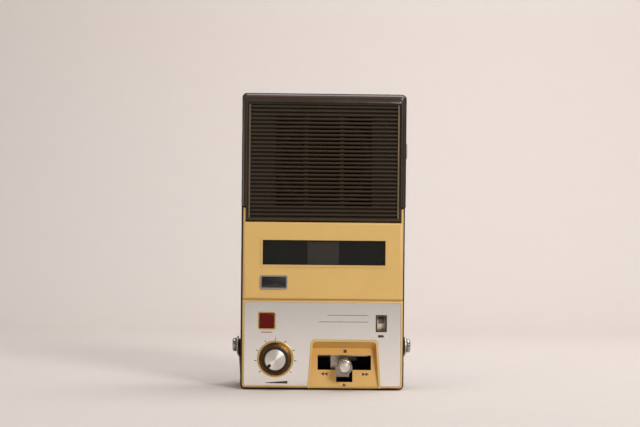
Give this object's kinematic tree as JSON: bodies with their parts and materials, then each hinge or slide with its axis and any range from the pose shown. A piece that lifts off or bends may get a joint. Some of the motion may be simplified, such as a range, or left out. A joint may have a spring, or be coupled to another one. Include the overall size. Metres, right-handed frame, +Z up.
{
  "type": "portable cassette recorder",
  "caption": "Upright portable cassette recorder: ribbed speaker grille, lift-up cassette door with window, control panel with dial, key and T-gate lever, swinging strap handle.",
  "frame": {"origin": "centre of the base that the recorder stands on, at mid depth of the case", "axes": "+Z up along the height, -Y out of the front, +X to the right seen from the front"},
  "size_m": [0.1472, 0.1006, 0.24],
  "materials": {
    "brown_case": "moulded, fine satin grain",
    "yellow_moulding": "satin moulded plastic, rubbed at the edges",
    "brushed_panel": "brushed and lacquered",
    "gilt": "gilt plated",
    "red_button": "gloss moulded plastic",
    "chrome": "polished plating",
    "steel": "zinc plated sheet",
    "spun_cap": "spun concentric grain",
    "knob_brown": "moulded, with a metallic lacquer",
    "black_plastic": "moulded",
    "smoked_window": "smoked clear plastic",
    "clear_lens": "clear moulded plastic",
    "meter_cream": "printed",
    "ivory_plastic": "moulded",
    "brass": "turned",
    "black_rubber": "moulded rubber",
    "cone_paper": "pressed paper",
    "board": "phenolic board",
    "cell_jacket": "plain steel jacket"
  },
  "bodies": {
    "root": {"rear_case": "brown_case", "speaker_grille": "brown_case", "grille_trim": "gilt", "door_hinge_pins": "steel", "front_frame": "yellow_moulding", "control_panel": "brushed_panel", "record_surround": "gilt", "record_spring": "steel", "meter_bezel": "black_plastic", "meter_lens": "clear_lens", "meter_housing": "black_plastic", "dial_ring": "gilt", "volume_control": "steel", "lever_shaft": "steel", "lever_bracket": "steel", "handle_pivots": "chrome", "handle_spacers": "black_plastic", "jack_plate": "gilt", "jack_sockets": "steel", "speaker_frame": "steel", "speaker_cone": "cone_paper", "speaker_magnet": "steel", "battery_tray": "black_plastic", "battery_contacts": "brass", "battery_cells": "cell_jacket", "cassette_well": "black_plastic", "deck_plate": "steel", "deck_screws": "steel", "flywheel_bridge": "steel", "motor_bracket": "steel", "drive_motor": "steel", "drive_belt": "black_rubber", "circuit_board": "board", "case_fasteners": "steel"},
    "door": {"cassette_door": "yellow_moulding", "door_window": "smoked_window", "door_leaf_spring": "steel", "door_plate": "chrome"},
    "record_key": {"record_button": "red_button"},
    "meter_movement": {"meter_drum": "meter_cream", "meter_flag": "black_plastic"},
    "volume_dial": {"volume_knob": "knob_brown", "knob_cap": "spun_cap"},
    "rewind_shift": {"rewind_collar": "steel"},
    "forward_shift": {"forward_collar": "steel"},
    "lever": {"lever_knob": "chrome", "lever_arm": "chrome"},
    "handle": {"handle_strap": "chrome", "handle_grip": "black_plastic"},
    "battery_lid": {"battery_door": "brown_case"},
    "supply_reel": {"supply_spindle": "ivory_plastic"},
    "takeup_reel": {"takeup_spindle": "ivory_plastic"},
    "capstan_wheel": {"capstan": "steel", "flywheel": "brass"},
    "idler": {"idler_wheel": "black_rubber"},
    "motor_rotor": {"motor_pulley": "brass"},
    "head_slide": {"head_plate": "steel", "play_head": "chrome", "erase_head": "black_plastic"},
    "pinch": {"pinch_roller": "black_rubber"}
  },
  "joints": [
    {"name": "door_hinge", "type": "hinge", "parent": "root", "child": "door", "pos_m": [0, -0.0282, 0.1439], "axis": [-1, 0, 0], "range_deg": [0, 85]},
    {"name": "record_press", "type": "slide", "parent": "root", "child": "record_key", "axis": [0, 1, 0], "range_m": [0, 0.004], "stiffness_N_per_m": 300},
    {"name": "meter_swing", "type": "hinge", "parent": "root", "child": "meter_movement", "pos_m": [0.0476, -0.0185, 0.0543], "axis": [1, 0, 0], "range_deg": [0, 25], "stiffness_Nm_per_rad": 0.005, "springref_deg": -5.73},
    {"name": "volume_turn", "type": "hinge", "parent": "root", "child": "volume_dial", "pos_m": [-0.038, -0.0312, 0.0251], "axis": [0, 1, 0], "range_deg": [0, 270]},
    {"name": "lever_rewind", "type": "slide", "parent": "root", "child": "rewind_shift", "axis": [-1, 0, 0], "range_m": [0, 0.016]},
    {"name": "lever_forward", "type": "slide", "parent": "rewind_shift", "child": "forward_shift", "axis": [1, 0, 0], "range_m": [0, 0.016]},
    {"name": "lever_play", "type": "hinge", "parent": "forward_shift", "child": "lever", "pos_m": [0.018, 0.006, 0.0255], "axis": [1, 0, 0], "range_deg": [0, 14]},
    {"name": "handle_swing", "type": "hinge", "parent": "root", "child": "handle", "pos_m": [0, 0, 0.0344], "axis": [1, 0, 0], "range_deg": [-58, 75]},
    {"name": "battery_lid_off", "type": "slide", "parent": "root", "child": "battery_lid", "axis": [0, 1, 0], "range_m": [0, 0.015]},
    {"name": "supply_spin", "type": "hinge", "parent": "root", "child": "supply_reel", "pos_m": [-0.02125, -0.015, 0.1095], "axis": [0, 1, 0], "continuous": true},
    {"name": "capstan_spin", "type": "hinge", "parent": "root", "child": "capstan_wheel", "pos_m": [0.0275, -0.015, 0.0805], "axis": [0, 1, 0], "continuous": true},
    {"name": "motor_spin", "type": "hinge", "parent": "root", "child": "motor_rotor", "pos_m": [-0.036, 0, 0.0865], "axis": [0, 1, 0], "continuous": true},
    {"name": "idler_spin", "type": "hinge", "parent": "root", "child": "idler", "pos_m": [0.02501, -0.015, 0.09207], "axis": [0, 1, 0], "continuous": true},
    {"name": "takeup_spin", "type": "hinge", "parent": "root", "child": "takeup_reel", "pos_m": [0.02125, -0.015, 0.1095], "axis": [0, 1, 0], "continuous": true},
    {"name": "head_lift", "type": "slide", "parent": "root", "child": "head_slide", "axis": [0, 0, 1], "range_m": [0, 0.005]},
    {"name": "pinch_spin", "type": "hinge", "parent": "head_slide", "child": "pinch", "pos_m": [0.0275, -0.015, 0.06845], "axis": [0, 1, 0], "continuous": true}
  ],
  "couplings": [
    {"joint": "motor_spin", "follows": "capstan_spin", "ratio": 5.1975},
    {"joint": "idler_spin", "follows": "capstan_spin", "ratio": -0.7654},
    {"joint": "takeup_spin", "follows": "capstan_spin", "ratio": 0.4545},
    {"joint": "head_lift", "follows": "lever_play", "m_per_rad": 0.020462}
  ]
}
